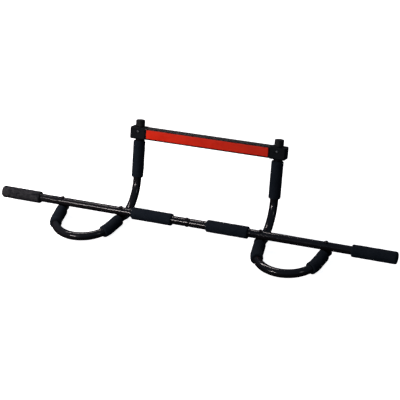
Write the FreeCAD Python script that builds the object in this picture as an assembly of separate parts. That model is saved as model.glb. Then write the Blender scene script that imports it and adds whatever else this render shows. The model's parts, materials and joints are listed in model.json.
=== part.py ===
import FreeCAD, Part
import math
import os

V = FreeCAD.Vector

# Frame: origin on the main bar's axis at its middle, +X along the bar, -Y towards the user's handles,
# +Z up. Millimetres and degrees.

# Steel tube shared by the main bar, the handles and the uprights
TUBE_R = 11.1
TUBE_WALL = 1.5
BORE_R = TUBE_R - TUBE_WALL
FIT = 0.1                      # radial clearance of a sliding or seated round fit
HOLE_CLEARANCE = 0.2           # radial clearance of a bolt in its hole

# Main bar, two halves joined in the middle by a reduced spigot and one cross bolt
BAR_HALF = 550.0
SEAM_GAP = 2.0
SEAM_EDGE = 0.9
SPIGOT_LENGTH = 60.0
SPIGOT_NECK = 8.0
JOINT_BOLT_X = -7.5
JOINT_HEAD_R = 5.0
JOINT_HEAD_HEIGHT = 0.9        # low heads, so that a hand slides over them
JOINT_HEAD_EDGE = 0.7
JOINT_HEAD_DEPTH = 2.0         # how far a head reaches down the bar's sides
JOINT_SLEEVE_WALL = 1.0
JOINT_SLEEVE_TOP = -2.0
JOINT_SLEEVE_FLOOR = 2.5       # solid part of the sleeve nut above its head
PLUG_DEPTH = 18.0
PLUG_RIM = 1.5

# Foam sleeves
FOAM_WALL = 5.0
FOAM_BORE_R = TUBE_R + FIT
FOAM_R = FOAM_BORE_R + FOAM_WALL
FOAM_CHAMFER = 3.0
HANDLE_CHAMFER = 2.1           # smaller, because the flared tube widens inside the sleeve
END_GRIP_LENGTH = 116.1
END_GRIP_CLOSED = 2.0          # foam that closes the sleeve's outer end
END_ROUND = 5.0
END_WALL = END_GRIP_CLOSED + PLUG_RIM + 1.0
CENTRE_GRIP_NEAR = 48.2

# Bolts through the bar that hold the handles and the uprights
OUTER_BARE = 65.9              # bare bar between the outer bolt and the end grip
HANDLE_SPAN = 173.0            # between a handle's two bolts
INNER_BARE = 32.7              # bare bar between the inner bolt and the centre grip
OUTER_BOLT_X = BAR_HALF - END_GRIP_LENGTH - OUTER_BARE
INNER_BOLT_X = OUTER_BOLT_X - HANDLE_SPAN
BOLT_R = 3.0
HEAD_R = 5.5
HEAD_HEIGHT = 3.3
SOCKET_SHARE = 0.36            # hexagon socket across flats, as a share of the head's width
SOCKET_DEPTH = 1.8
WASHER_R = 7.5
WASHER_THICK = 1.6
NUT_FLATS = 10.0
NUT_HEIGHT = 5.5
NUT_COLLAR = 1.6
NUT_SLACK = 0.05               # stands for the threads
BOLT_TAIL = 2.0

# Saddle washers between the round bar and the flat tube ends
SADDLE_X = 24.0
SADDLE_Y = 16.0
SADDLE_THICK = 4.0
SADDLE_RISE = 2.6
SADDLE_ROUND = 4.0

# Flattened tube ends
SLIT_HALF = 0.25
FLAT_HALF = SLIT_HALF + TUBE_WALL
FLAT_WIDTH = FLAT_HALF + math.pi * (TUBE_R - FLAT_HALF) / 2.0   # same outline length as the round tube
FLARE_STEPS = 4
HANDLE_FLAT_END = 13.0
HANDLE_FLARE_START = SADDLE_Y / 2.0 + 1.0
HANDLE_FLARE = (HANDLE_FLARE_START, HANDLE_FLARE_START + 16.0)
UPRIGHT_FLAT_END = HANDLE_FLARE_START - 0.5
UPRIGHT_FLARE = (HANDLE_FLAT_END + 2.0, HANDLE_FLAT_END + 27.0)

# Under each bolt: saddle, handle end, then upright end
STACK_TOP = -TUBE_R - FIT - SADDLE_THICK
HANDLE_FLAT_Z = STACK_TOP - FLAT_HALF
UPRIGHT_FLAT_Z = HANDLE_FLAT_Z - 2.0 * FLAT_HALF
HANDLE_SET = 2.25              # how far the round tube's axis lies below its flat end
UPRIGHT_SET = 3.15

# D-shaped handles, in a level plane below the bar
HANDLE_Z = HANDLE_FLAT_Z - HANDLE_SET
HANDLE_TOE = 9.0
HANDLE_LEG = 57.3
HANDLE_GRIP_LENGTH = 67.0
HANDLE_GRIP_START = HANDLE_FLARE_START + 9.0
HANDLE_GRIP = (HANDLE_GRIP_START, HANDLE_GRIP_START + HANDLE_GRIP_LENGTH)

# Cross bar, its end brackets and the caps
CROSS_DROP = 31.2              # cross bar's middle below the upright's top end
CROSS_HEIGHT = 31.2
CROSS_DEPTH = 28.8
CROSS_WALL = 1.5
CROSS_CORNER = 2.5
BRACKET_INNER = 19.0           # bracket either side of the upright's axis
BRACKET_OUTER = 23.0
BRACKET_PROUD = 1.2
BRACKET_ROUND = 4.0
BRACKET_NEAR = INNER_BOLT_X - BRACKET_INNER
BRACKET_FAR = INNER_BOLT_X + BRACKET_OUTER
SPIGOT_IN_CROSS = 18.0
SPIGOT_FIT = 0.2
CROSS_BOLT_UP = 5.0            # bolt above the cross bar's middle
CROSS_BOLT_R = 2.0
CROSS_HEAD_R = 3.4
CROSS_HEAD_HEIGHT = 2.0
CROSS_NUT_FLATS = 7.0
CROSS_NUT_HEIGHT = 4.0
CAP_WALL = 1.2
CAP_TOP = 3.2
CAP_GAP = 1.8
CAP_ROUND = 2.0
CAP_R = TUBE_R + FIT + CAP_WALL
CAP_SKIRT = CROSS_DROP - CROSS_HEIGHT / 2.0 - BRACKET_PROUD - CAP_GAP
STRIP_GAP = 5.0                # bare face between the strip and each bracket
STRIP_HALF = BRACKET_NEAR - STRIP_GAP
STRIP_MARGIN = 3.8
STRIP_HEIGHT = CROSS_HEIGHT - 2.0 * STRIP_MARGIN
STRIP_THICK = 0.5

# Uprights: level under the bar, then bent up and leaning back
UPRIGHT_Z = UPRIGHT_FLAT_Z - UPRIGHT_SET
UPRIGHT_RUN = 26.3
UPRIGHT_BEND_R = 92.0
UPRIGHT_LEAN = 17.2
UPRIGHT_STRAIGHT = 156.2
UPRIGHT_NECK = 4.0             # bare tube between the bracket and the foam
UPRIGHT_GRIP_SHORT = 1.2       # straight tube left below the foam
UPRIGHT_GRIP_TOP = CROSS_DROP + CROSS_HEIGHT / 2.0 + BRACKET_PROUD + UPRIGHT_NECK
UPRIGHT_GRIP_LENGTH = UPRIGHT_STRAIGHT - UPRIGHT_GRIP_TOP - UPRIGHT_GRIP_SHORT

SIDES = (-1, 1)
SIDE_NAME = {-1: "left", 1: "right"}


def save(node, solids):
    """Write one node as one or more separate closed solids."""
    solids = solids if isinstance(solids, list) else [solids]
    shape = solids[0] if len(solids) == 1 else Part.makeCompound(solids)
    shape.exportStep("parts/%s.step" % node)


def one(shape):
    """The single solid of a finished boolean."""
    return shape.removeSplitter().Solids[0]


def mirror_x(shape):
    return shape.mirror(V(0, 0, 0), V(1, 0, 0))


def on_side(shape, side):
    """Shapes are drawn on the +X side."""
    return shape if side > 0 else mirror_x(shape)


def revolve_x(profile):
    """Turn a list of (x, radius) points about the bar's axis."""
    points = [V(x, 0, r) for x, r in profile]
    face = Part.Face(Part.makePolygon(points + points[:1]))
    return face.revolve(V(0, 0, 0), V(1, 0, 0), 360.0)


def down_cylinder(x, radius, top, bottom):
    return Part.makeCylinder(radius, top - bottom, V(x, 0, bottom))


def hexagon(flats, height, base, direction):
    """Hexagonal prism on base along direction."""
    corner = flats / math.sqrt(3.0)
    points = []
    for step in range(7):
        angle = math.radians(60.0 * step)
        points.append(V(corner * math.cos(angle), corner * math.sin(angle), 0))
    prism = Part.Face(Part.makePolygon(points)).extrude(V(0, 0, height))
    prism.Placement = FreeCAD.Placement(base, FreeCAD.Rotation(V(0, 0, 1), direction))
    return prism


# Fasteners

def button_bolt(head_seat, direction, length, radius, head_r, head_height):
    """Domed bolt: head_seat is the middle of the head's underside, direction runs along the shank."""
    shank = Part.makeCylinder(radius, length + 0.5, V(0, 0, -0.5))
    head = Part.makeCylinder(head_r, head_height, V(0, 0, -head_height))
    head = head.makeFillet(head_height * 0.75, [head.Edges[edge_at(head, -head_height)]])
    flats = SOCKET_SHARE * 2.0 * head_r
    head = head.cut(hexagon(flats, SOCKET_DEPTH, V(0, 0, -head_height), V(0, 0, 1)))
    bolt = one(shank.fuse(head))
    bolt.Placement = FreeCAD.Placement(head_seat, FreeCAD.Rotation(V(0, 0, 1), direction))
    return bolt


def edge_at(shape, height):
    """Index of the circular edge that lies at this height."""
    for index, edge in enumerate(shape.Edges):
        flat = abs(edge.BoundBox.ZMin - height) < 1e-6 and abs(edge.BoundBox.ZMax - height) < 1e-6
        if flat:
            return index
    raise ValueError("no edge at this height")


def lock_nut(top, direction, flats, radius, height, collar):
    """Nut with its lock ring: top is the middle of its seat, direction leads away from the seat."""
    body = hexagon(flats, height - collar, V(0, 0, 0), V(0, 0, 1))
    ring = Part.makeCylinder(flats * 0.45, height)
    nut = body.fuse(ring).cut(Part.makeCylinder(radius + NUT_SLACK, height))
    nut = one(nut)
    nut.Placement = FreeCAD.Placement(top, FreeCAD.Rotation(V(0, 0, 1), direction))
    return nut


def stack_bottom(x):
    """Lowest face of the tube ends that this bolt clamps."""
    flat = UPRIGHT_FLAT_Z if abs(x) == INNER_BOLT_X else HANDLE_FLAT_Z
    return flat - FLAT_HALF


def frame_bolt(x):
    end = stack_bottom(x) - WASHER_THICK - NUT_HEIGHT - BOLT_TAIL
    return button_bolt(V(x, 0, TUBE_R), V(0, 0, -1), TUBE_R - end, BOLT_R, HEAD_R, HEAD_HEIGHT)


def frame_washer(x):
    top = stack_bottom(x)
    disc = down_cylinder(x, WASHER_R, top, top - WASHER_THICK)
    return disc.cut(down_cylinder(x, BOLT_R + HOLE_CLEARANCE, top, top - WASHER_THICK))


def frame_nut(x):
    seat = V(x, 0, stack_bottom(x) - WASHER_THICK)
    return lock_nut(seat, V(0, 0, -1), NUT_FLATS, BOLT_R, NUT_HEIGHT, NUT_COLLAR)


def saddle(x):
    """Block with a hollow top that matches the bar."""
    low = V(x - SADDLE_X / 2.0, -SADDLE_Y / 2.0, STACK_TOP)
    block = Part.makeBox(SADDLE_X, SADDLE_Y, SADDLE_THICK + SADDLE_RISE, low)
    uprights = [edge for edge in block.Edges if abs(edge.tangentAt(edge.FirstParameter).z) > 0.9]
    block = block.makeFillet(SADDLE_ROUND, uprights)
    bar = Part.makeCylinder(TUBE_R + FIT, SADDLE_X, V(x - SADDLE_X / 2.0, 0, 0), V(1, 0, 0))
    hole = down_cylinder(x, BOLT_R + HOLE_CLEARANCE, 0.0, STACK_TOP)
    return one(block.cut(bar).cut(hole))


# Main bar

def bar_holes(shape, side):
    for x in (INNER_BOLT_X, OUTER_BOLT_X):
        shape = shape.cut(down_cylinder(side * x, BOLT_R + HOLE_CLEARANCE, TUBE_R + 1.0, -TUBE_R - 1.0))
    return shape


def joint_hole(shape):
    """Bolt's hole through the top of both tubes and the wider sleeve nut's hole below."""
    shape = shape.cut(down_cylinder(JOINT_BOLT_X, BOLT_R + HOLE_CLEARANCE, TUBE_R + 1.0, 0.0))
    return shape.cut(down_cylinder(JOINT_BOLT_X, joint_sleeve_r() + HOLE_CLEARANCE, 0.0, -TUBE_R - 1.0))


def joint_sleeve_r():
    return BOLT_R + JOINT_SLEEVE_WALL


def bar_half_left():
    """Plain tube up to the seam."""
    end = -BAR_HALF + END_WALL
    seam = -SEAM_GAP / 2.0
    profile = [(end, BORE_R), (end, TUBE_R), (seam - SEAM_EDGE, TUBE_R)]
    profile += [(seam, TUBE_R - SEAM_EDGE), (seam, BORE_R)]
    return one(joint_hole(bar_holes(revolve_x(profile), -1)))


def bar_half_right():
    """Tube whose end is reduced to a spigot that slides into the other half."""
    end = BAR_HALF - END_WALL
    seam = SEAM_GAP / 2.0
    spigot_r = BORE_R - FIT
    spigot_bore = spigot_r - TUBE_WALL
    outside = [(-SPIGOT_LENGTH, spigot_r), (seam, spigot_r), (seam, TUBE_R - SEAM_EDGE)]
    outside += [(seam + SEAM_EDGE, TUBE_R)]
    inside = [(end, TUBE_R), (end, BORE_R), (seam + SPIGOT_NECK, BORE_R), (seam + 1.0, spigot_bore)]
    profile = outside + inside + [(-SPIGOT_LENGTH, spigot_bore)]
    return one(joint_hole(bar_holes(revolve_x(profile), 1)))


def joint_head():
    """Low head above the bar, hollowed underneath to sit on the round tube."""
    top = TUBE_R + JOINT_HEAD_HEIGHT
    head = down_cylinder(JOINT_BOLT_X, JOINT_HEAD_R, top, TUBE_R - JOINT_HEAD_DEPTH)
    head = head.makeFillet(JOINT_HEAD_EDGE, [head.Edges[edge_at(head, top)]])
    near = V(JOINT_BOLT_X - 2.0 * JOINT_HEAD_R, 0, 0)
    return head.cut(Part.makeCylinder(TUBE_R + FIT, 4.0 * JOINT_HEAD_R, near, V(1, 0, 0)))


def joint_socket():
    flats = SOCKET_SHARE * 2.0 * JOINT_HEAD_R
    return hexagon(flats, SOCKET_DEPTH, V(JOINT_BOLT_X, 0, TUBE_R + JOINT_HEAD_HEIGHT), V(0, 0, -1))


def joint_bolt():
    """Bolt whose shank ends on the floor of the sleeve nut."""
    floor = -TUBE_R + JOINT_SLEEVE_FLOOR
    shank = down_cylinder(JOINT_BOLT_X, BOLT_R, TUBE_R + JOINT_HEAD_HEIGHT / 2.0, floor)
    return one(joint_head().fuse(shank).cut(joint_socket()))


def joint_nut():
    """Sleeve nut: the same low head, below the bar, on a sleeve that takes the bolt's shank."""
    radius = joint_sleeve_r()
    sleeve = down_cylinder(JOINT_BOLT_X, radius, TUBE_R + JOINT_HEAD_HEIGHT / 2.0, -JOINT_SLEEVE_TOP)
    nut = joint_head().fuse(sleeve)
    bore = down_cylinder(JOINT_BOLT_X, BOLT_R + NUT_SLACK, TUBE_R - JOINT_SLEEVE_FLOOR, 0.0)
    nut = nut.cut(bore).cut(joint_socket())
    return one(nut.mirror(V(0, 0, 0), V(0, 0, 1)))


def end_plug(side):
    """Pressed-in plastic plug whose rim covers the tube's end under the foam."""
    end = BAR_HALF - END_WALL
    profile = [(end - PLUG_DEPTH, 0), (end - PLUG_DEPTH, BORE_R - FIT), (end, BORE_R - FIT)]
    profile += [(end, TUBE_R - SEAM_EDGE), (end + PLUG_RIM, TUBE_R - SEAM_EDGE), (end + PLUG_RIM, 0)]
    return on_side(one(revolve_x(profile)), side)


# Foam on the main bar

def end_grip(side):
    """Sleeve with a closed, rounded outer end."""
    start = BAR_HALF - END_GRIP_LENGTH
    body = Part.makeCylinder(FOAM_R, END_GRIP_LENGTH, V(start, 0, 0), V(1, 0, 0))
    far = [edge for edge in body.Edges if edge.BoundBox.XMin > BAR_HALF - 1e-3]
    body = body.makeFillet(END_ROUND, far)
    near = [edge for edge in body.Edges if edge.BoundBox.XMax < start + 1e-3]
    body = body.makeChamfer(FOAM_CHAMFER, near)
    pocket = Part.makeCylinder(FOAM_BORE_R, END_GRIP_LENGTH - END_GRIP_CLOSED, V(start, 0, 0), V(1, 0, 0))
    return on_side(one(body.cut(pocket)), side)


def sleeve_profile(start, length, chamfer):
    end = start + length
    near = [(start, FOAM_BORE_R), (start, FOAM_R - chamfer), (start + chamfer, FOAM_R)]
    return near + [(end - chamfer, FOAM_R), (end, FOAM_R - chamfer), (end, FOAM_BORE_R)]


def centre_grip(side):
    length = INNER_BOLT_X - INNER_BARE - CENTRE_GRIP_NEAR
    sleeve = revolve_x(sleeve_profile(CENTRE_GRIP_NEAR, length, FOAM_CHAMFER))
    return on_side(one(sleeve), side)


# Bent tubes: a path is a start point, two directions and a plane, walked by distance

class HandlePath:
    """Centreline of the right handle from one bolt: straight leg, then a round front."""

    def __init__(self, bolt_x, inward):
        toe = math.radians(HANDLE_TOE)
        self.start = V(bolt_x, 0, HANDLE_Z)
        self.leg = V(inward * math.sin(toe), -math.cos(toe), 0)
        self.inward = inward
        self.toe = toe
        middle = (INNER_BOLT_X + OUTER_BOLT_X) / 2.0
        corner = self.start + self.leg * HANDLE_LEG
        self.radius = abs(corner.x - middle) / math.cos(toe)
        self.centre = corner + V(inward * math.cos(toe), math.sin(toe), 0) * self.radius

    def at(self, distance):
        if distance <= HANDLE_LEG:
            return self.start + self.leg * distance
        angle = self.toe + (distance - HANDLE_LEG) / self.radius
        out = V(-self.inward * math.cos(angle), -math.sin(angle), 0)
        return self.centre + out * self.radius

    def length(self):
        return HANDLE_LEG + self.radius * (math.pi / 2.0 - self.toe)

    def across(self, distance):
        return V(0, 0, 1).cross(self.leg)

    def normal(self, distance):
        return V(0, 0, 1)

    def tangent(self, distance):
        if distance <= HANDLE_LEG:
            return self.leg
        angle = self.toe + (distance - HANDLE_LEG) / self.radius
        return V(self.inward * math.sin(angle), -math.cos(angle), 0)


class UprightPath:
    """Centreline of the right upright from its bolt: level run, bend, leaning straight."""

    def __init__(self):
        self.x = INNER_BOLT_X
        self.turn = math.radians(90.0 - UPRIGHT_LEAN)
        self.bend_end = UPRIGHT_RUN + UPRIGHT_BEND_R * self.turn

    def angle(self, distance):
        along = min(max(distance - UPRIGHT_RUN, 0.0), UPRIGHT_BEND_R * self.turn)
        return along / UPRIGHT_BEND_R

    def at(self, distance):
        if distance <= UPRIGHT_RUN:
            return V(self.x, distance, UPRIGHT_Z)
        angle = self.angle(distance)
        y = UPRIGHT_RUN + UPRIGHT_BEND_R * math.sin(angle)
        z = UPRIGHT_Z + UPRIGHT_BEND_R * (1.0 - math.cos(angle))
        beyond = max(distance - self.bend_end, 0.0)
        return V(self.x, y, z) + self.tangent(distance) * beyond

    def length(self):
        return self.bend_end + UPRIGHT_STRAIGHT

    def tangent(self, distance):
        angle = self.angle(distance)
        return V(0, math.cos(angle), math.sin(angle))

    def across(self, distance):
        return V(1, 0, 0)

    def normal(self, distance):
        return self.tangent(distance).cross(V(-1, 0, 0))


def path_wire(path, start, end, corners):
    """Line and arc edges of a path between two distances; corners lists where they change."""
    stops = [start] + [c for c in corners if start + 0.5 < c < end - 0.5] + [end]
    edges = []
    for near, far in zip(stops, stops[1:]):
        middle = path.at((near + far) / 2.0)
        chord = (path.at(near) + path.at(far)) * 0.5
        if (middle - chord).Length < 1e-6:
            edges.append(Part.makeLine(path.at(near), path.at(far)))
        else:
            edges.append(Part.Arc(path.at(near), middle, path.at(far)).toShape())
    return edges


def sweep(edges, radius):
    """Round rod along tangent edges."""
    wire = Part.Wire(edges)
    first = edges[0]
    start = first.valueAt(first.FirstParameter)
    direction = first.tangentAt(first.FirstParameter)
    circle = Part.Wire([Part.makeCircle(radius, start, direction)])
    return wire.makePipeShell([circle], True, False)


def flat_section(path, distance, share, flat_z, radius, half_width, half_height):
    """Tube outline between round (share 0) and flat (share 1), as four edges."""
    centre = path.at(distance)
    across = path.across(distance)
    normal = path.normal(distance)
    centre = centre + normal * (share * flat_z)
    diagonal = radius * math.cos(math.pi / 4.0)
    wide = radius + (half_width - radius) * share
    high = radius + (half_height - radius) * share
    corner_w = diagonal + (half_width - half_height - diagonal) * share
    corner_h = diagonal + (half_height - diagonal) * share

    def point(a, b):
        return centre + across * a + normal * b

    loop = [(-corner_w, corner_h), (0, high), (corner_w, corner_h), (wide, 0), (corner_w, -corner_h)]
    loop += [(0, -high), (-corner_w, -corner_h), (-wide, 0), (-corner_w, corner_h)]
    edges = []
    for step in range(0, 8, 2):
        a, b, c = [point(*loop[step + k]) for k in range(3)]
        straight = ((a + c) * 0.5 - b).Length < 1e-6
        edges.append(Part.makeLine(a, c) if straight else Part.Arc(a, b, c).toShape())
    return Part.Wire(edges)


def flare(path, ends, flat_z, radius, half_width, half_height):
    """Solid between the flat section and the round one."""
    sections = []
    for step in range(FLARE_STEPS + 1):
        along = step / float(FLARE_STEPS)
        share = 1.0 - along * along * (3.0 - 2.0 * along)
        distance = ends[0] + (ends[1] - ends[0]) * along
        sections.append(flat_section(path, distance, share, flat_z, radius, half_width, half_height))
    return Part.makeLoft(sections, True, False)


def flat_plate(path, overhang, flare_start, flat_z, half_width, half_height):
    """Flat end with a round tip that reaches past the bolt by overhang."""
    tangent = path.tangent(0.0)
    across = path.across(0.0)
    bolt = path.at(0.0) + V(0, 0, flat_z - half_height)
    tip = bolt + tangent * (half_width - overhang)
    root = bolt + tangent * flare_start
    corners = [tip - across * half_width, root - across * half_width]
    corners += [root + across * half_width, tip + across * half_width]
    plate = Part.Face(Part.makePolygon(corners + corners[:1])).extrude(V(0, 0, 2.0 * half_height))
    disc = Part.makeCylinder(half_width, 2.0 * half_height, tip)
    return plate.fuse(disc)


def bent_tube(path, overhang, flare_ends, flat_z, end, corners):
    """Hollow tube with a flattened end: returns its outside and its inside."""
    inner_width = FLAT_WIDTH - TUBE_WALL
    rod = sweep(path_wire(path, flare_ends[1], end, corners), TUBE_R)
    outside = rod.fuse(flare(path, flare_ends, flat_z, TUBE_R, FLAT_WIDTH, FLAT_HALF))
    outside = outside.fuse(flat_plate(path, overhang, flare_ends[0], flat_z, FLAT_WIDTH, FLAT_HALF))
    core = sweep(path_wire(path, flare_ends[1], end, corners), BORE_R)
    inside = core.fuse(flare(path, flare_ends, flat_z, BORE_R, inner_width, SLIT_HALF))
    slit_back = overhang + 1.0 - (FLAT_WIDTH - inner_width)
    slit = flat_plate(path, slit_back + 2.0 * TUBE_WALL, flare_ends[0], flat_z, inner_width, SLIT_HALF)
    return outside, inside.fuse(slit)


def handle_tube(side):
    offset = HANDLE_FLAT_Z - HANDLE_Z
    half = None
    for bolt_x, inward in ((OUTER_BOLT_X, -1), (INNER_BOLT_X, 1)):
        path = HandlePath(bolt_x, inward)
        shapes = bent_tube(path, HANDLE_FLAT_END, HANDLE_FLARE, offset, path.length(), [HANDLE_LEG])
        half = shapes if half is None else (half[0].fuse(shapes[0]), half[1].fuse(shapes[1]))
    tube = half[0].cut(half[1])
    for x in (INNER_BOLT_X, OUTER_BOLT_X):
        tube = tube.cut(down_cylinder(x, BOLT_R + HOLE_CLEARANCE, 0.0, HANDLE_Z * 2.0))
    return on_side(one(tube), side)


def upright_tube(side):
    path = UprightPath()
    offset = UPRIGHT_FLAT_Z - UPRIGHT_Z
    corners = [UPRIGHT_RUN, path.bend_end]
    outside, inside = bent_tube(path, UPRIGHT_FLAT_END, UPRIGHT_FLARE, offset, path.length(), corners)
    tube = outside.cut(inside)
    tube = tube.cut(down_cylinder(INNER_BOLT_X, BOLT_R + HOLE_CLEARANCE, 0.0, UPRIGHT_Z * 2.0))
    tube = tube.cut(cross_bolt_rod(CROSS_BOLT_R + HOLE_CLEARANCE, 2.0 * CROSS_DEPTH))
    return on_side(one(tube), side)


def handle_envelope(path, end):
    """Space that a handle's tube takes out of the foam around it."""
    offset = HANDLE_FLAT_Z - HANDLE_Z
    flared = flare(path, HANDLE_FLARE, offset, FOAM_BORE_R, FLAT_WIDTH + FIT, FLAT_HALF + FIT)
    return flared.fuse(sweep(path_wire(path, HANDLE_FLARE[1], end, [HANDLE_LEG]), FOAM_BORE_R))


def handle_grip(side, bolt_x, inward):
    """Foam sleeve that follows the leg into the bend."""
    path = HandlePath(bolt_x, inward)
    near, far = HANDLE_GRIP
    body = sweep(path_wire(path, near, far, [HANDLE_LEG]), FOAM_R)
    ends = []
    for distance in HANDLE_GRIP:
        place = path.at(distance)
        ends += [edge for edge in body.Edges if (edge.CenterOfMass - place).Length < 1e-3]
    body = body.makeChamfer(HANDLE_CHAMFER, ends)
    sleeve = body.cut(handle_envelope(path, far + 2.0))
    return on_side(one(sleeve), side)


def upright_grip(side):
    path = UprightPath()
    top = path.length() - UPRIGHT_GRIP_TOP
    sleeve = revolve_x(sleeve_profile(0.0, UPRIGHT_GRIP_LENGTH, FOAM_CHAMFER))
    along = path.tangent(top)
    place = path.at(top - UPRIGHT_GRIP_LENGTH)
    sleeve.Placement = FreeCAD.Placement(place, FreeCAD.Rotation(V(1, 0, 0), along))
    return on_side(one(sleeve), side)


# Cross bar and what is on it, drawn square at the origin and then leaned back into place

def cross_place():
    path = UprightPath()
    centre = path.at(path.length() - CROSS_DROP)
    centre.x = 0.0
    return FreeCAD.Placement(centre, FreeCAD.Rotation(V(1, 0, 0), -UPRIGHT_LEAN))


def lean(shape):
    """Move a shape drawn about the cross bar's middle into the frame."""
    moved = shape.copy()
    moved.Placement = cross_place().multiply(moved.Placement)
    return moved


def block(x0, x1, depth, height, corner):
    """Bar along X with rounded long edges."""
    body = Part.makeBox(x1 - x0, depth, height, V(x0, -depth / 2.0, -height / 2.0))
    along = [edge for edge in body.Edges if edge.BoundBox.XLength > (x1 - x0) * 0.9]
    return body.makeFillet(corner, along)


def cross_bolt_rod(radius, length):
    """Rod through the upright from front to back at the bracket bolt's height."""
    start = V(INNER_BOLT_X, -length / 2.0, CROSS_BOLT_UP)
    return lean(Part.makeCylinder(radius, length, start, V(0, 1, 0)))


def cross_tube():
    outer = block(-BRACKET_NEAR, BRACKET_NEAR, CROSS_DEPTH, CROSS_HEIGHT, CROSS_CORNER)
    depth = CROSS_DEPTH - 2.0 * CROSS_WALL
    height = CROSS_HEIGHT - 2.0 * CROSS_WALL
    inner = block(-BRACKET_NEAR, BRACKET_NEAR, depth, height, CROSS_CORNER - CROSS_WALL)
    return one(lean(outer.cut(inner)))


def bracket(side):
    """Moulded end: a block bored for the upright with a plug that fills the cross bar's end."""
    depth = CROSS_DEPTH + 2.0 * BRACKET_PROUD
    height = CROSS_HEIGHT + 2.0 * BRACKET_PROUD
    body = block(BRACKET_NEAR, BRACKET_FAR, depth, height, BRACKET_ROUND)
    outer = [edge for edge in body.Edges if edge.BoundBox.XMin > BRACKET_FAR - 1e-3]
    body = body.makeFillet(BRACKET_ROUND * 0.9, outer)
    plug_depth = CROSS_DEPTH - 2.0 * (CROSS_WALL + SPIGOT_FIT)
    plug_height = CROSS_HEIGHT - 2.0 * (CROSS_WALL + SPIGOT_FIT)
    plug = block(BRACKET_NEAR - SPIGOT_IN_CROSS, BRACKET_NEAR + 1.0, plug_depth, plug_height, CROSS_CORNER)
    body = body.fuse(plug)
    base = V(INNER_BOLT_X, 0, -height)
    body = body.cut(Part.makeCylinder(TUBE_R + FIT, 2.0 * height, base))
    start = V(INNER_BOLT_X, -depth, CROSS_BOLT_UP)
    body = body.cut(Part.makeCylinder(CROSS_BOLT_R + HOLE_CLEARANCE, 2.0 * depth, start, V(0, 1, 0)))
    return on_side(one(lean(body)), side)


def bracket_face():
    return CROSS_DEPTH / 2.0 + BRACKET_PROUD


def bracket_bolt(side):
    seat = V(INNER_BOLT_X, -bracket_face(), CROSS_BOLT_UP)
    length = 2.0 * bracket_face() + CROSS_NUT_HEIGHT + 1.0
    bolt = button_bolt(seat, V(0, 1, 0), length, CROSS_BOLT_R, CROSS_HEAD_R, CROSS_HEAD_HEIGHT)
    return on_side(lean(bolt), side)


def bracket_nut(side):
    seat = V(INNER_BOLT_X, bracket_face(), CROSS_BOLT_UP)
    nut = lock_nut(seat, V(0, 1, 0), CROSS_NUT_FLATS, CROSS_BOLT_R, CROSS_NUT_HEIGHT, NUT_COLLAR)
    return on_side(lean(nut), side)


def upright_cap(side):
    """Round cap over the upright's top end."""
    top = CROSS_DROP + CAP_TOP
    body = Part.makeCylinder(CAP_R, CAP_TOP + CAP_SKIRT, V(0, 0, top - CAP_TOP - CAP_SKIRT))
    body = body.makeFillet(CAP_ROUND, [body.Edges[edge_at(body, top)]])
    low = top - CAP_TOP - CAP_SKIRT
    body = body.cut(Part.makeCylinder(TUBE_R + FIT, CAP_SKIRT, V(0, 0, low)))
    body.Placement = FreeCAD.Placement(V(INNER_BOLT_X, 0, 0), FreeCAD.Rotation())
    return on_side(one(lean(body)), side)


def front_strip():
    """Coloured strip on the cross bar's front face, short of both brackets."""
    low = V(-STRIP_HALF, -CROSS_DEPTH / 2.0 - STRIP_THICK, -STRIP_HEIGHT / 2.0)
    strip = Part.makeBox(2.0 * STRIP_HALF, STRIP_THICK, STRIP_HEIGHT, low)
    return lean(strip)


def build():
    os.makedirs("parts", exist_ok=True)
    save("bar_half_left", bar_half_left())
    save("bar_half_right", bar_half_right())
    save("bar_joint_bolt", joint_bolt())
    save("bar_joint_nut", joint_nut())
    bolts_x = [side * x for x in (INNER_BOLT_X, OUTER_BOLT_X) for side in SIDES]
    save("frame_bolts_inner", [frame_bolt(x) for x in bolts_x if abs(x) == INNER_BOLT_X])
    save("frame_bolts_outer", [frame_bolt(x) for x in bolts_x if abs(x) == OUTER_BOLT_X])
    save("frame_washers", [frame_washer(x) for x in bolts_x])
    save("frame_nuts", [frame_nut(x) for x in bolts_x])
    save("saddle_washers", [saddle(x) for x in bolts_x])
    save("cross_tube", cross_tube())
    save("front_strip", front_strip())
    save("bracket_bolts", [bracket_bolt(side) for side in SIDES])
    save("bracket_nuts", [bracket_nut(side) for side in SIDES])
    for side in SIDES:
        name = SIDE_NAME[side]
        save("bar_end_plug_" + name, end_plug(side))
        save("end_grip_" + name, end_grip(side))
        save("centre_grip_" + name, centre_grip(side))
        save("handle_tube_" + name, handle_tube(side))
        save("handle_grip_outer_" + name, handle_grip(side, OUTER_BOLT_X, -1))
        save("handle_grip_inner_" + name, handle_grip(side, INNER_BOLT_X, 1))
        save("upright_tube_" + name, upright_tube(side))
        save("upright_grip_" + name, upright_grip(side))
        save("bracket_" + name, bracket(side))
        save("upright_cap_" + name, upright_cap(side))


build()
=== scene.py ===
# %% [markdown]
# # A doorway pull-up bar
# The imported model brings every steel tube, bracket and bolt at its true size, and it stays where it
# is. This lesson gives those parts their paint and plating, and replaces the plain foam and the
# plain strip with modelled ones. Everything is in metres, with +X along the main bar and +Z up.

# %% Load the frame
import json
import math
import bmesh
import bpy
from mathutils import Matrix, Vector


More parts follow.
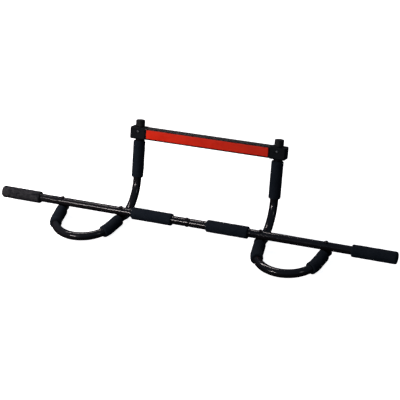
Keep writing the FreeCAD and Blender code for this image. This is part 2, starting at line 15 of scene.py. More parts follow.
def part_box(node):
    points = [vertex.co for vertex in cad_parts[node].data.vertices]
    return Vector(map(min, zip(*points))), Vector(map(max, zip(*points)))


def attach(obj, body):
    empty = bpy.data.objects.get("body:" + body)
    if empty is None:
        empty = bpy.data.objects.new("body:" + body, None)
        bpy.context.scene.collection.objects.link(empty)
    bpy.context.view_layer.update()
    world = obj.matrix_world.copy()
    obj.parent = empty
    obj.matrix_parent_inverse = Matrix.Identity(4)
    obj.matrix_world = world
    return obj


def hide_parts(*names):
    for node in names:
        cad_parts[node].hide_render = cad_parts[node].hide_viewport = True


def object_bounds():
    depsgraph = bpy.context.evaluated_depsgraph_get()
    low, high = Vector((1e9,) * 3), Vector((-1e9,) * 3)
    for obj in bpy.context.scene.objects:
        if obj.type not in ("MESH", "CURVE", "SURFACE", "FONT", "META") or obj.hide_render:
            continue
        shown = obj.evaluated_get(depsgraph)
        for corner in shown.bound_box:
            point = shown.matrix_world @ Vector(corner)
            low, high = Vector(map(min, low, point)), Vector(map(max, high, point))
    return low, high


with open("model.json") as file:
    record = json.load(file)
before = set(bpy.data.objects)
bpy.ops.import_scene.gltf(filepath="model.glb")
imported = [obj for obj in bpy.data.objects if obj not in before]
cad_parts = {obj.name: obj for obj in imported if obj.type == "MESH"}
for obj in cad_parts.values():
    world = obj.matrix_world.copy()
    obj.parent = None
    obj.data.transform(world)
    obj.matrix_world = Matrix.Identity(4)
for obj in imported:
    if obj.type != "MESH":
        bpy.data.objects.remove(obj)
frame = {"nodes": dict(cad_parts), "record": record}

cad_low, cad_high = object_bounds()
print("frame box", [round(v, 4) for v in (*cad_low, *cad_high)])

# %% [markdown]
# ## Camera
# A long lens some three metres away keeps the bar nearly the same thickness from end to end. The
# camera stands to the right, looks down on the bar and is rolled a little clockwise. It could be
# turned by three angles, but their order is easy to mistake, so its three directions are written
# as the columns of a matrix.

# %% Camera
CAMERA_PLACE = Vector((1.0105, -2.4168, 1.6204))
CAMERA_RIGHT = Vector((0.93404, 0.35539, -0.03557)).normalized()
CAMERA_UP = Vector((-0.15286, 0.48779, 0.85947))
CAMERA_UP = (CAMERA_UP - CAMERA_RIGHT * CAMERA_UP.dot(CAMERA_RIGHT)).normalized()
CAMERA_BACK = CAMERA_RIGHT.cross(CAMERA_UP)
LENS_MM = 106.3
SENSOR_MM = 36.0
FAR_CLIP = 50.0

camera_data = bpy.data.cameras.new("camera")
camera_data.lens = LENS_MM
camera_data.sensor_width = SENSOR_MM
camera_data.clip_end = FAR_CLIP
camera = bpy.data.objects.new("camera", camera_data)
bpy.context.collection.objects.link(camera)
turn = Matrix((CAMERA_RIGHT, CAMERA_UP, CAMERA_BACK)).transposed().to_4x4()
camera.matrix_world = Matrix.Translation(CAMERA_PLACE) @ turn
bpy.context.scene.camera = camera
bpy.context.scene.view_settings.view_transform = "Standard"
print("camera looks along", [round(v, 3) for v in -CAMERA_BACK])

# %% [markdown]
# ## Small helpers for edit mode
# Operators act on whatever is selected, and the import leaves everything selected. So each step
# starts by clearing the selection, and picks its faces or edges in code, by where they are.

# %% Selection helpers
SAME_POINT = 1e-6
SMOOTH_DEGREES = 40.0


def only(obj):
    """Make obj the one selected and active object."""
    if bpy.context.mode != "OBJECT":
        bpy.ops.object.mode_set(mode="OBJECT")
    bpy.ops.object.select_all(action="DESELECT")
    obj.select_set(True)
    bpy.context.view_layer.objects.active = obj
    return obj


def named(name):
    """Name the object that a primitive operator has just made."""
    obj = bpy.context.active_object
    obj.name = name
    obj.data.name = name
    return only(obj)


def pick(obj, kind, test):
    """In edit mode, select the edges or faces that pass test(middle, item)."""
    mesh = bmesh.from_edit_mesh(obj.data)
    bpy.ops.mesh.select_mode(type=kind)
    bpy.ops.mesh.select_all(action="DESELECT")
    for item in {"EDGE": mesh.edges, "FACE": mesh.faces}[kind]:
        middle = sum((v.co for v in item.verts), Vector()) / len(item.verts)
        if test(middle, item):
            item.select_set(True)
    mesh.select_flush_mode()
    bmesh.update_edit_mesh(obj.data)


def settle(obj):
    """Put the object's place into its mesh, so the object itself sits at the origin."""
    only(obj)
    bpy.ops.object.transform_apply(location=True, rotation=True, scale=True)
    return obj


def tidy_faces(obj, angle=SMOOTH_DEGREES):
    """Merge doubles, turn every face outwards and smooth all but the sharp edges."""
    only(obj)
    bpy.ops.object.mode_set(mode="EDIT")
    bpy.ops.mesh.select_all(action="SELECT")
    bpy.ops.mesh.remove_doubles(threshold=SAME_POINT)
    bpy.ops.mesh.normals_make_consistent(inside=False)
    bpy.ops.object.mode_set(mode="OBJECT")
    bpy.ops.object.shade_smooth_by_angle(angle=math.radians(angle))
    return obj


def mirrored(obj, name, x):
    """A copy with its own mesh, mirrored about the plane across the bar at x."""
    only(obj)
    bpy.ops.object.duplicate(linked=False)
    twin = named(name)
    twin.scale.x = -1.0
    twin.location.x = 2.0 * x
    settle(twin)
    return tidy_faces(twin)


print("helpers ready")

# %% [markdown]
# ## A ruler for finishes
# Procedural patterns need one scale for the whole object. Object coordinates are metres here,
# because every piece sits at the origin, so a noise of scale 1000 has features about a millimetre
# across. A node is a step of the recipe, and a link carries its result to the next.

# %% Node helpers
def new_material(name):
    """A bare shader. Gives the material, the shader and the place on the surface in metres."""
    material = bpy.data.materials.new(name)
    material.use_nodes = True
    nodes = material.node_tree.nodes
    nodes.clear()
    out = nodes.new("ShaderNodeOutputMaterial")
    shader = nodes.new("ShaderNodeBsdfPrincipled")
    material.node_tree.links.new(shader.outputs["BSDF"], out.inputs["Surface"])
    place = nodes.new("ShaderNodeTexCoord")
    return material, shader, place.outputs["Object"]


def feed(material, value, socket):
    """Carry a node's result to the socket of another."""
    material.node_tree.links.new(value, socket)


def noise(material, where, scale, detail=3.0, roughness=0.5):
    """Soft random clouds."""
    node = material.node_tree.nodes.new("ShaderNodeTexNoise")
    node.inputs["Scale"].default_value = scale
    node.inputs["Detail"].default_value = detail
    node.inputs["Roughness"].default_value = roughness
    feed(material, where, node.inputs["Vector"])
    return node.outputs["Fac"]


def pores(material, where, scale):
    """Small round cells, darkest in their middles."""
    node = material.node_tree.nodes.new("ShaderNodeTexVoronoi")
    node.inputs["Scale"].default_value = scale
    feed(material, where, node.inputs["Vector"])
    return node.outputs["Distance"]


def ramp(material, value, stops):
    """Colour ramp: stops are (position, grey or colour)."""
    node = material.node_tree.nodes.new("ShaderNodeValToRGB")
    elements = node.color_ramp.elements
    while len(elements) < len(stops):
        elements.new(0.5)
    for element, (position, colour) in zip(elements, stops):
        element.position = position
        grey = isinstance(colour, (int, float))
        element.color = (colour, colour, colour, 1.0) if grey else (*colour, 1.0)
    feed(material, value, node.inputs["Fac"])
    return node.outputs["Color"]


def bump(material, shader, heights):
    """Chain bump nodes: heights are (output, strength, depth in metres)."""
    normal = None
    for height, strength, depth in heights:
        node = material.node_tree.nodes.new("ShaderNodeBump")
        node.inputs["Strength"].default_value = strength
        node.inputs["Distance"].default_value = depth
        feed(material, height, node.inputs["Height"])
        if normal is not None:
            feed(material, normal, node.inputs["Normal"])
        normal = node.outputs["Normal"]
    feed(material, normal, shader.inputs["Normal"])


print("node helpers ready")

# %% [markdown]
# ## Gloss black paint
# The tubes are sprayed steel. The coat is glossy but not a mirror: it has the faint ripple called
# orange peel, fine dust, and patches that are a touch duller where hands and packing have rubbed.
# One flat black with an even gloss would look like plastic, so three noises give the dull patches,
# the ripple and the dust, and the colour itself hardly varies. The rectangular cross bar has a more
# satin coat, so the same recipe is used again with a weaker and duller reflection. Where the two
# halves of the main bar meet, the open groove is bare and dusty, so their paint turns fully dull
# within 2 mm of the middle.

# %% Paint
BLACK_LOW = (0.0040, 0.0036, 0.0044)
BLACK_HIGH = (0.0080, 0.0070, 0.0078)
SEAM_REACH = 0.0019
SEAM_FADE = 0.0004


def near_seam(material, where, reach):
    """1 within reach of the middle of the bar, fading to 0 just beyond it."""
    nodes, links = material.node_tree.nodes, material.node_tree.links
    split = nodes.new("ShaderNodeSeparateXYZ")
    size = nodes.new("ShaderNodeMath")
    size.operation = "ABSOLUTE"
    fade = nodes.new("ShaderNodeMapRange")
    links.new(where, split.inputs["Vector"])
    links.new(split.outputs["X"], size.inputs[0])
    links.new(size.outputs["Value"], fade.inputs["Value"])
    fade.inputs["From Min"].default_value = reach
    fade.inputs["From Max"].default_value = reach + SEAM_FADE
    fade.inputs["To Min"].default_value = 1.0
    fade.inputs["To Max"].default_value = 0.0
    return fade.outputs["Result"]


def paint(name, level, duller=0.0, seam=0.0):
    """Black paint: level is how much it reflects, seam how far the bare groove reaches."""
    material, shader, where = new_material(name)
    rub = noise(material, where, 28.0, 5.0, 0.62)
    dust = noise(material, where, 900.0, 2.0)
    black = ramp(material, rub, [(0.3, BLACK_LOW), (0.75, BLACK_HIGH)])
    feed(material, black, shader.inputs["Base Color"])
    matt = [(0.35, 0.11 + duller), (0.62, 0.16 + duller), (0.8, 0.24 + duller)]
    rough = ramp(material, rub, matt)
    if seam:
        most = material.node_tree.nodes.new("ShaderNodeMath")
        most.operation = "MAXIMUM"
        feed(material, rough, most.inputs[0])
        feed(material, near_seam(material, where, seam), most.inputs[1])
        rough = most.outputs["Value"]
    feed(material, rough, shader.inputs["Roughness"])
    shader.inputs["Specular IOR Level"].default_value = level
    ripple = noise(material, where, 210.0, 2.0)
    bump(material, shader, [(ripple, 0.05, 0.0004), (dust, 0.04, 0.0001)])
    return material


PAINT = paint("paint_gloss_black", 0.5)
BAR_PAINT = paint("paint_bar_black", 0.5, seam=SEAM_REACH)
BOX_PAINT = paint("paint_satin_black", 0.15, duller=0.08)
print("paints", PAINT.name, BAR_PAINT.name, BOX_PAINT.name)

# %% [markdown]
# ## Foam
# The grips are closed-cell rubber foam. Up close the skin is a crowd of tiny burst cells, so it is
# very rough and swallows light. Cells of two sizes push the surface in, and a slow noise makes some
# patches a little greyer. The left end grip is mottled in patches of a centimetre, and it is also
# paler all over. That paleness is painted light, standing in for the stronger light at the left
# end. So it gets the same recipe with a wider and paler range of tones.

# %% Foam finish
COARSE_CELLS = 380.0
FINE_CELLS = 900.0


def foam_finish(name, dark, pale, patch_scale=38.0):
    """Foam between two tones, in patches that shrink as patch_scale grows."""
    material, shader, where = new_material(name)
    patches = noise(material, where, patch_scale, 4.0, 0.6)
    cells = pores(material, where, FINE_CELLS)
    coarse = pores(material, where, COARSE_CELLS)
    mottle = noise(material, where, 260.0, 2.0, 0.7)
    cloud = material.node_tree.nodes.new("ShaderNodeMix")
    cloud.inputs["Factor"].default_value = 0.45
    feed(material, patches, cloud.inputs["A"])
    feed(material, mottle, cloud.inputs["B"])
    tone = ramp(material, cloud.outputs["Result"], [(0.36, dark), (0.64, pale)])
    pits = ramp(material, cells, [(0.0, 0.35), (0.45, 1.0)])
    blend = material.node_tree.nodes.new("ShaderNodeMix")
    blend.data_type = "RGBA"
    blend.blend_type = "MULTIPLY"
    blend.inputs["Factor"].default_value = 0.8
    feed(material, tone, blend.inputs["A"])
    feed(material, pits, blend.inputs["B"])
    feed(material, blend.outputs["Result"], shader.inputs["Base Color"])
    feed(material, ramp(material, patches, [(0.3, 0.82), (0.7, 0.95)]), shader.inputs["Roughness"])
    shader.inputs["Specular IOR Level"].default_value = 0.15
    bump(material, shader, [(coarse, 0.5, 0.0007), (cells, 0.6, 0.0004)])
    return material


FOAM = foam_finish("foam_black", (0.0044, 0.0074, 0.0122), (0.0110, 0.0148, 0.0205))
# Painted light: this foam's paler tones stand in for the stronger light on the left end grip; its
# mottling is the foam's own.
PALE_LIT_MOTTLED_FOAM = foam_finish("foam_mottled_painted_light", (0.0012, 0.0020, 0.0036), (0.0330, 0.0326, 0.0352),
                        patch_scale=110.0)
print("foams", FOAM.name, PALE_LIT_MOTTLED_FOAM.name)

# %% [markdown]
# ## Moulded plastic
# Brackets and caps come from a spark-eroded mould, which leaves a fine even grain. Both are nearly
# black. The caps are a softer rubber and slightly greyer, so the same recipe is used with two pairs
# of colours.

# %% Plastic finish
def moulded_plastic(name, dark, pale):
    """Grained plastic between two tones."""
    material, shader, where = new_material(name)
    grain = noise(material, where, 1500.0, 3.0, 0.6)
    cloud = noise(material, where, 55.0, 3.0)
    feed(material, ramp(material, cloud, [(0.3, dark), (0.75, pale)]), shader.inputs["Base Color"])
    feed(material, ramp(material, cloud, [(0.3, 0.5), (0.75, 0.64)]), shader.inputs["Roughness"])
    shader.inputs["Specular IOR Level"].default_value = 0.12
    bump(material, shader, [(grain, 0.35, 0.00015), (cloud, 0.1, 0.0006)])
    return material


PLASTIC = moulded_plastic("plastic_grained_black",
                          (0.0022, 0.0032, 0.0044), (0.0048, 0.0062, 0.0078))
CAP_RUBBER = moulded_plastic("rubber_cap_black",
                             (0.0090, 0.0095, 0.0100), (0.0180, 0.0185, 0.0190))
print("plastics", PLASTIC.name, CAP_RUBBER.name)

# %% [markdown]
# ## Metals
# The frame bolts, washers and nuts are blackened steel, oily and dark. The small screws in the
# brackets are dull zinc, with the cloudy crystals that plating has. Both are full metals, so their
# colour shows only in what they reflect.

# %% Metal finishes
def blackened_steel():
    """Oiled black steel, cloudy."""
    material, shader, where = new_material("steel_blackened")
    cloud = noise(material, where, 320.0, 4.0, 0.65)
    black = ramp(material, cloud, [(0.3, (0.02, 0.018, 0.02)), (0.7, (0.06, 0.052, 0.054))])
    feed(material, black, shader.inputs["Base Color"])
    shader.inputs["Metallic"].default_value = 1.0
    feed(material, ramp(material, cloud, [(0.3, 0.32), (0.7, 0.5)]), shader.inputs["Roughness"])
    bump(material, shader, [(noise(material, where, 1400.0, 2.0), 0.15, 0.0002)])
    return material


def zinc_plate():
    """Dull zinc with crystals under 2 mm across."""
    material, shader, where = new_material("steel_zinc")
    crystals = pores(material, where, 700.0)
    grey = ramp(material, crystals, [(0.0, (0.10, 0.105, 0.11)), (0.6, (0.19, 0.20, 0.205))])
    feed(material, grey, shader.inputs["Base Color"])
    shader.inputs["Metallic"].default_value = 1.0
    feed(material, ramp(material, crystals, [(0.0, 0.24), (0.6, 0.4)]), shader.inputs["Roughness"])
    bump(material, shader, [(crystals, 0.1, 0.0001)])
    return material


BLACK_STEEL = blackened_steel()
ZINC = zinc_plate()
print("metals", BLACK_STEEL.name, ZINC.name)

# %% [markdown]
# ## Red strip finish
# The strip is a film with a satin face, orange-red, slightly uneven in tone and gently rippled
# where it was pressed down. A slow noise varies its tone and sheen, and a finer one makes the
# ripple. The strip carries no words.

# %% Red finish
def red_film():
    """Satin red film, uneven and rippled."""
    material, shader, where = new_material("film_red")
    slow = noise(material, where, 22.0, 4.0, 0.6)
    red = ramp(material, slow, [(0.3, (0.54, 0.0120, 0.0018)), (0.7, (0.66, 0.0200, 0.0034))])
    feed(material, red, shader.inputs["Base Color"])
    feed(material, ramp(material, slow, [(0.3, 0.3), (0.7, 0.42)]), shader.inputs["Roughness"])
    shader.inputs["Specular IOR Level"].default_value = 0.12
    bump(material, shader, [(noise(material, where, 120.0, 3.0), 0.1, 0.0004)])
    return material


RED = red_film()
print("film", RED.name)

# %% [markdown]
# ## Finishes on the steel, plastic and bolts
# These parts already have the right shape, so they only get their finish. The record says which
# slot each belongs to, and that picks it. The caps, the main bar and the cross bar then get their
# own.

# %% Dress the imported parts
FINISH_OF_SLOT = {"paint": PAINT, "plastic": PLASTIC, "dark_steel": BLACK_STEEL,
                  "bright_steel": ZINC, "strip_red": RED, "foam": FOAM}
slot_of_node = {part["node"]: part["material_slot"] for part in frame["record"]["subparts"]}


def dress(obj, material):
    """Give obj this one finish."""
    obj.data.materials.clear()
    obj.data.materials.append(material)


for node, obj in frame["nodes"].items():
    dress(obj, FINISH_OF_SLOT[slot_of_node[node]])
for side in ("left", "right"):
    dress(frame["nodes"]["upright_cap_" + side], CAP_RUBBER)
    dress(frame["nodes"]["bar_half_" + side], BAR_PAINT)
dress(frame["nodes"]["cross_tube"], BOX_PAINT)
print("dressed", len(slot_of_node), "parts")

# %% [markdown]
# ## Foam sleeves
# A sleeve is a thick tube of foam pushed on to the steel. It could be a cylinder, but the soft ends
# matter: the cut edge is pulled in and rounded. So a ring is grown along the sleeve step by step,
# and its last steps draw in to the bore. Bridging the two bore rings closes the tube from the
# inside.

# %% Growing a ring
FOAM_RADIUS = 0.0162
BORE_RADIUS = 0.0112
RING_POINTS = 64
IN_PLANE = 1e-4
ALONG_X = Vector((1.0, 0.0, 0.0))
# (how far along, radius) of a soft cut end, from the full radius inwards
SOFT_END = [(0.0011, 0.01595), (0.0009, 0.0154), (0.0007, 0.0146), (0.0004, 0.0136),
            (0.0001, 0.0124)]


def first_ring(name, start, way):
    """Start a sleeve: a bare ring of edges round start, facing along way, left in edit mode."""
    bpy.ops.object.select_all(action="DESELECT")
    bpy.ops.mesh.primitive_circle_add(vertices=RING_POINTS, radius=FOAM_RADIUS, location=start)
    obj = named(name)
    obj.rotation_mode = "QUATERNION"
    obj.rotation_quaternion = way.to_track_quat("Z", "Y")
    settle(obj)
    bpy.ops.object.mode_set(mode="EDIT")
    bpy.ops.mesh.select_mode(type="EDGE")
    bpy.ops.mesh.select_all(action="SELECT")
    return obj


def grow(way, length, steps):
    """Extrude the selected ring along way, in even steps."""
    for _ in range(steps):
        bpy.ops.mesh.extrude_region_move(TRANSFORM_OT_translate={"value": way * (length / steps)})


def draw_in(point, way, profile):
    """Grow the selected ring along way from its centre, point, and narrow it to the profile."""
    radius = FOAM_RADIUS
    for ahead, target in profile:
        point = point + way * ahead
        grow(way, ahead, 1)
        bpy.ops.transform.resize(value=(target / radius,) * 3, center_override=point)
        radius = target


def open_end(point, way):
    """Round the selected ring off and turn it in to the bore."""
    draw_in(point, way, SOFT_END + [(0.0, BORE_RADIUS)])


def profile_length(profile):
    return sum(ahead for ahead, radius in profile)


INSET = profile_length(SOFT_END)
print("soft end is", round(INSET * 1000, 2), "mm long")

# %% [markdown]
# ## Closing a sleeve
# The far end is rounded while the ring is still selected. The near one starts from the first ring,
# which is found again as the open edge that lies at the start.

# %% Whole sleeves
SLEEVE_STEPS = 26


def select_open_edge(obj, point, way):
    """Select the open edges that lie in the plane across way at point."""
    pick(obj, "EDGE", lambda m, e: e.is_boundary and abs((m - point).dot(way)) < IN_PLANE)


def close_sleeve(obj, start, way, cuts=0):
    """Round the near end and join the two bore rings by an inner wall."""
    select_open_edge(obj, start, way)
    open_end(start, -way)
    pick(obj, "EDGE", lambda m, e: e.is_boundary)
    bpy.ops.mesh.bridge_edge_loops(number_cuts=cuts)
    bpy.ops.object.mode_set(mode="OBJECT")
    return tidy_faces(obj)


def straight_sleeve(name, low, high):
    """Foam tube round the X axis between low and high, open at both ends."""
    start, end = ALONG_X * (low + INSET), ALONG_X * (high - INSET)
    obj = first_ring(name, start, ALONG_X)
    grow(ALONG_X, high - low - 2.0 * INSET, SLEEVE_STEPS)
    open_end(end, ALONG_X)
    return close_sleeve(obj, start, ALONG_X)


print("ring of", RING_POINTS, "points, grown in", SLEEVE_STEPS, "steps")

# %% [markdown]
# ## Uneven foam
# Foam is never quite true: it swells and shrinks by a few tenths of a millimetre along its length.
# A Displace modifier with a cloud texture gives each sleeve its own slight unevenness, and is
# applied so that it is in the mesh. A finished grip then gets its finish, and the plain solid that
# it stands for is hidden.

# %% Uneven foam
SWELL_SIZE = 0.022
SWELL_HEIGHT = 0.0009
SWELL_LEVEL = 0.55

SWELL = bpy.data.textures.new("foam_swell", "CLOUDS")
SWELL.noise_scale = SWELL_SIZE
SWELL.noise_depth = 3


def swell(obj):
    """Push the skin in and out a little, in soft lumps."""
    only(obj)
    lumps = obj.modifiers.new("swell", "DISPLACE")
    lumps.texture = SWELL
    lumps.texture_coords = "LOCAL"
    lumps.strength = SWELL_HEIGHT
    lumps.mid_level = SWELL_LEVEL
    bpy.ops.object.modifier_apply(modifier=lumps.name)


def foam_piece(obj, node, finish=FOAM):
    """Give a finished grip its unevenness, finish and body, and hide the node it stands for."""
    swell(obj)
    dress(obj, finish)
    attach(obj, "root")
    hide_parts(node)
    low, high = [Vector(c) for c in (obj.bound_box[0], obj.bound_box[6])]
    print(node, "size mm", [round(v * 1000, 1) for v in high - low])


print("swell texture", SWELL.name)

# %% [markdown]
# ## Centre grips
# Two sleeves sit either side of the seam, one for each hand. They are plain straight sleeves, and
# their length is read from the solids that they replace.

# %% Centre grips
for side in ("left", "right"):
    low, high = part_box("centre_grip_" + side)
    foam_piece(straight_sleeve("foam_centre_" + side, low[0], high[0]), "centre_grip_" + side)

# %% [markdown]
# ## End grips
# These close over the bar's end. The outer end is a soft dome: the ring is drawn in step by step,
# and one last copy of it is merged to a point. The pocket for the bar is then grown inwards from
# the open end, so the foam has real thickness. One is modelled and the other is its mirror copy.

# %% End grips
DOME = [(0.0018, 0.01585), (0.0015, 0.0150), (0.0010, 0.0137), (0.0007, 0.0118), (0.0003, 0.0088),
        (0.0001, 0.0045)]
POCKET_FLOOR = 0.0020
POCKET_STEPS = 2


def close_ring():
    """End the selected ring in a point."""
    bpy.ops.mesh.extrude_region_move()
    bpy.ops.mesh.merge(type="CENTER")


def end_sleeve(name, low, high):
    """Foam with a closed end at high and an open end at low, on the +X side."""
    dome = profile_length(DOME)
    start, shoulder = ALONG_X * (low + INSET), ALONG_X * (high - dome)
    obj = first_ring(name, start, ALONG_X)
    grow(ALONG_X, high - low - INSET - dome, SLEEVE_STEPS)
    draw_in(shoulder, ALONG_X, DOME)
    close_ring()
    select_open_edge(obj, start, ALONG_X)
    open_end(start, -ALONG_X)
    grow(ALONG_X, high - low - POCKET_FLOOR, POCKET_STEPS)
    close_ring()
    bpy.ops.object.mode_set(mode="OBJECT")
    return tidy_faces(obj)


low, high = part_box("end_grip_right")
right_end = end_sleeve("foam_end_right", low[0], high[0])
left_end = mirrored(right_end, "foam_end_left", 0.0)
foam_piece(right_end, "end_grip_right")
# The left end grip gets the foam whose paler tones are painted light.
foam_piece(left_end, "end_grip_left", PALE_LIT_MOTTLED_FOAM)

# %% [markdown]
# ## Upright grips
# The same sleeve is made along X at the origin, then turned to the upright's lean and moved to its
# place. The lean is known, and the sleeve's length follows from it and from the height of the
# solid's box.

# %% Upright grips
LEAN = math.radians(17.2)


def upright_sleeve(side):
    """A straight sleeve, leaned back into the place of the upright's grip."""
    low, high = [Vector(c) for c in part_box("upright_grip_" + side)]
    height_of_ends = 2.0 * FOAM_RADIUS * math.sin(LEAN)
    length = (high.z - low.z - height_of_ends) / math.cos(LEAN)
    grip = straight_sleeve("foam_upright_" + side, -length / 2.0, length / 2.0)
    upwards = Vector((0.0, math.sin(LEAN), math.cos(LEAN)))
    grip.rotation_quaternion = upwards.to_track_quat("X", "Y")
    grip.location = (low + high) / 2.0
    return settle(grip)


for side in ("left", "right"):
    foam_piece(upright_sleeve(side), "upright_grip_" + side)

# %% [markdown]
# ## Side handle grips
# Each handle leg runs straight out from its bolt, turned in by a few degrees, and then follows the
# round front. First the bend's own centre and radius are worked out from the bolts and the leg.

# %% Handle measures
BOLT_OUTER = 0.368
BOLT_INNER = 0.195
TOE = math.radians(9.0)
LEG = 0.0573
HANDLE_HEIGHT = -0.0192
SLEEVE_START = 0.0155
SLEEVE_END = 0.085


def way_after(angle):
    """Which way the outer leg's tube points once it has bent by angle."""
    return Vector((-math.sin(TOE + angle), -math.cos(TOE + angle), 0.0))


def out_after(angle):
    """Which way the bend's outside faces once the tube has bent by angle."""
    return Vector((math.cos(TOE + angle), -math.sin(TOE + angle), 0.0))


leg_way = way_after(0.0)
bolt = Vector((BOLT_OUTER, 0.0, HANDLE_HEIGHT))
handle_middle = (BOLT_OUTER + BOLT_INNER) / 2.0
corner = bolt + leg_way * LEG
bend_radius = (corner.x - handle_middle) / math.cos(TOE)
bend_centre = corner - out_after(0.0) * bend_radius
print("bend radius mm", round(bend_radius * 1000, 1))

# %% [markdown]
# The ring is grown along the straight part and spun round the bend's centre, so the foam keeps its
# thickness in the curve. One grip is modelled and the other three are mirror copies.

# %% Handle grips
LEG_STEPS = 10
BEND_STEPS = 8
WALL_CUTS = 8


def handle_sleeve(name):
    """The grip on the outer leg of the right handle."""
    start = bolt + leg_way * (SLEEVE_START + INSET)
    obj = first_ring(name, start, leg_way)
    grow(leg_way, LEG - SLEEVE_START - INSET, LEG_STEPS)
    angle = (SLEEVE_END - INSET - LEG) / bend_radius
    bpy.ops.mesh.spin(steps=BEND_STEPS, angle=angle, center=bend_centre, axis=(0.0, 0.0, 1.0))
    open_end(bend_centre + out_after(angle) * bend_radius, way_after(angle))
    return close_sleeve(obj, start, leg_way, WALL_CUTS)


outer_right = handle_sleeve("foam_handle_outer_right")
inner_right = mirrored(outer_right, "foam_handle_inner_right", handle_middle)
outer_left = mirrored(outer_right, "foam_handle_outer_left", 0.0)
inner_left = mirrored(inner_right, "foam_handle_inner_left", 0.0)
foam_piece(outer_right, "handle_grip_outer_right")
foam_piece(inner_right, "handle_grip_inner_right")
foam_piece(outer_left, "handle_grip_outer_left")
foam_piece(inner_left, "handle_grip_inner_left")

# %% [markdown]
# ## Red strip
# The strip is a thick film pressed on to the cross bar's front. Its middle is flat and its rim
# falls away gently to rounded corners, so the rim catches the light, which a plain box wouldn't do.
# A flat box is laid out square at the origin: the four short edges are bevelled round, the front is
# inset three times and each inner face is pushed forward a little. Then it is leaned back with the
# cross bar.

# %% Red strip
STRIP_THICK = 0.0005
CORNER_ROUND = 0.0026
CORNER_STEPS = 6
RIM_BACK = 0.0002
# (how far in, how far forward) of each step from the rim to the flat middle
RIM_STEPS = [(0.0003, 0.00012), (0.0004, 0.00006), (0.0006, 0.00002)]
STRIP_SMOOTH_DEGREES = 60.0
FACING_FRONT = -0.9


def strip(name):
    """The strip, modelled flat and then leaned into the place of its plain solid."""
    low, high = [Vector(c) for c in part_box("front_strip")]
    tall = ((high.z - low.z) - STRIP_THICK * math.sin(LEAN)) / math.cos(LEAN)
    bpy.ops.object.select_all(action="DESELECT")
    bpy.ops.mesh.primitive_cube_add(size=1.0)
    obj = named(name)
    obj.scale = (high.x - low.x, STRIP_THICK, tall)
    settle(obj)
    bpy.ops.object.mode_set(mode="EDIT")
    half = STRIP_THICK / 2.0
    pick(obj, "EDGE", lambda m, e: abs(e.verts[0].co.y - e.verts[1].co.y) > half)
    bpy.ops.mesh.bevel(offset=CORNER_ROUND, segments=CORNER_STEPS)
    pick(obj, "FACE", lambda m, f: f.normal.y < FACING_FRONT)
    bpy.ops.transform.translate(value=(0.0, RIM_BACK, 0.0))
    for inward, forward in RIM_STEPS:
        bpy.ops.mesh.inset(thickness=inward, depth=0.0)
        bpy.ops.transform.translate(value=(0.0, -forward, 0.0))
    bpy.ops.object.mode_set(mode="OBJECT")
    tidy_faces(obj, STRIP_SMOOTH_DEGREES)
    obj.rotation_euler.x = -LEAN
    obj.location = (low + high) / 2.0
    return settle(obj)


red_strip = strip("strip_red")
dress(red_strip, RED)
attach(red_strip, "root")
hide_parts("front_strip")
print("strip has", len(red_strip.data.polygons), "faces")

# %% [markdown]
# ## Floor
# A plain pale floor runs far behind the object, so its edge shows only to a very low camera. It
# glows by itself, because the lamps are small. It is kept out of reflections and of bounced light:
# a white floor would grey the black steel from below, where the real one stays black.

# %% Floor
FLOOR_SIZE = 400.0
FLOOR_BELOW = 0.0005
FLOOR_GLOW = 0.9


def floor_finish():
    """A matt pale surface that glows, with faint clouds."""
    material, shader, where = new_material("floor_pale")
    pale = ramp(material, noise(material, where, 3.0, 4.0), [(0.3, 0.93), (0.7, 0.95)])
    feed(material, pale, shader.inputs["Base Color"])
    shader.inputs["Roughness"].default_value = 1.0
    shader.inputs["Specular IOR Level"].default_value = 0.0
    shader.inputs["Emission Color"].default_value = (1.0, 1.0, 1.0, 1.0)
    shader.inputs["Emission Strength"].default_value = FLOOR_GLOW
    return material


floor_height = cad_low[2] - FLOOR_BELOW
bpy.ops.object.select_all(action="DESELECT")
bpy.ops.mesh.primitive_plane_add(size=FLOOR_SIZE, location=(0.0, 0.0, floor_height))
floor = settle(named("floor"))
dress(floor, floor_finish())
floor.visible_diffuse = False
floor.visible_glossy = False
print("floor at mm", round(floor_height * 1000, 2))

# %% [markdown]
# ## Lamps
# Two long, narrow lamps, "front" and "back", draw the two thin streaks along every tube. They hang
# to the left, so the streaks die away to the right. One broad lamp would light the bar as well, but
# it would draw one wide, milky streak. The others only fill in:
# - "left", small, warm and close, lifts the left end grip.
# - "fill", broad and in front, lights the upright faces. It and "left" are hidden from reflections,
#   or they would draw more, fat streaks.
# - "side" keeps the right end from going flat.
# - "wall", faint and low behind the object, gives the grey sheen on the cross bar's top face.
# - "rear" lights the back.

# %% Lamps
WARM = (1.0, 0.90, 0.88)
WHITE = (1.0, 1.0, 1.0)
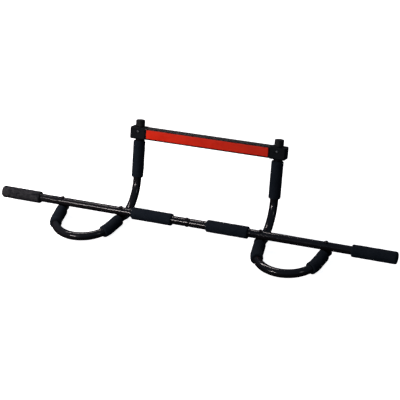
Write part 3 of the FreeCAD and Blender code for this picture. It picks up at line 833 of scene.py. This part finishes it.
# name, place, point it looks at, width and height, watts, colour, whether reflections show it
LAMPS = [
    ("front", (-1.05, -2.1, 1.15), (-0.3, 0.0, 0.0), (0.85, 0.12), 18.0, WARM, True),
    ("back", (-1.05, 1.1, 2.2), (-0.3, 0.0, 0.0), (1.4, 0.12), 17.0, WARM, True),
    ("left", (-0.85, -0.35, 0.5), (-0.5, 0.0, 0.0), (0.25, 0.25), 8.0, WARM, False),
    ("wall", (-1.05, 3.0, 0.15), (0.0, 0.0, 0.15), (1.8, 0.3), 0.7, WARM, True),
    ("rear", (1.3, 2.3, 0.9), (0.1, 0.0, 0.05), (1.0, 0.15), 7.0, WHITE, True),
    ("side", (2.2, -1.0, 1.5), (0.0, 0.0, 0.0), (0.3, 0.5), 1.5, WHITE, True),
    ("fill", (-0.2, -2.6, 0.35), (0.0, 0.0, 0.05), (0.8, 0.8), 9.0, WHITE, False),
]


def lamp(name, place, target, size, watts, colour, reflected):
    """A rectangular lamp at place that faces target."""
    data = bpy.data.lights.new(name, "AREA")
    data.shape = "RECTANGLE"
    data.size, data.size_y = size
    data.energy = watts
    data.color = colour
    obj = bpy.data.objects.new(name, data)
    bpy.context.collection.objects.link(obj)
    obj.location = place
    obj.rotation_mode = "QUATERNION"
    obj.rotation_quaternion = (Vector(target) - Vector(place)).to_track_quat("-Z", "Y")
    obj.visible_glossy = reflected


for row in LAMPS:
    lamp(*row)
print("lamps", [row[0] for row in LAMPS])

# %% [markdown]
# ## The dark room round the lamps
# Glossy black steel shows its surroundings more than its own colour. The room is a dim blue-grey, a
# little darker below, so the tubes stay black between their streaks.

# %% Room
ROOM_LOW = (0.010, 0.012, 0.016, 1.0)
ROOM_HIGH = (0.080, 0.105, 0.150, 1.0)
ROOM_FADE_END = 0.35


def room():
    """Dim surroundings that fade from the horizon up."""
    world = bpy.data.worlds.new("studio")
    bpy.context.scene.world = world
    world.use_nodes = True
    nodes, links = world.node_tree.nodes, world.node_tree.links
    place = nodes.new("ShaderNodeTexCoord")
    height = nodes.new("ShaderNodeSeparateXYZ")
    fade = nodes.new("ShaderNodeValToRGB")
    links.new(place.outputs["Generated"], height.inputs["Vector"])
    links.new(height.outputs["Z"], fade.inputs["Fac"])
    links.new(fade.outputs["Color"], nodes["Background"].inputs["Color"])
    darkest, palest = fade.color_ramp.elements
    darkest.position, darkest.color = 0.0, ROOM_LOW
    palest.position, palest.color = ROOM_FADE_END, ROOM_HIGH
    return world


print("room", room().name)
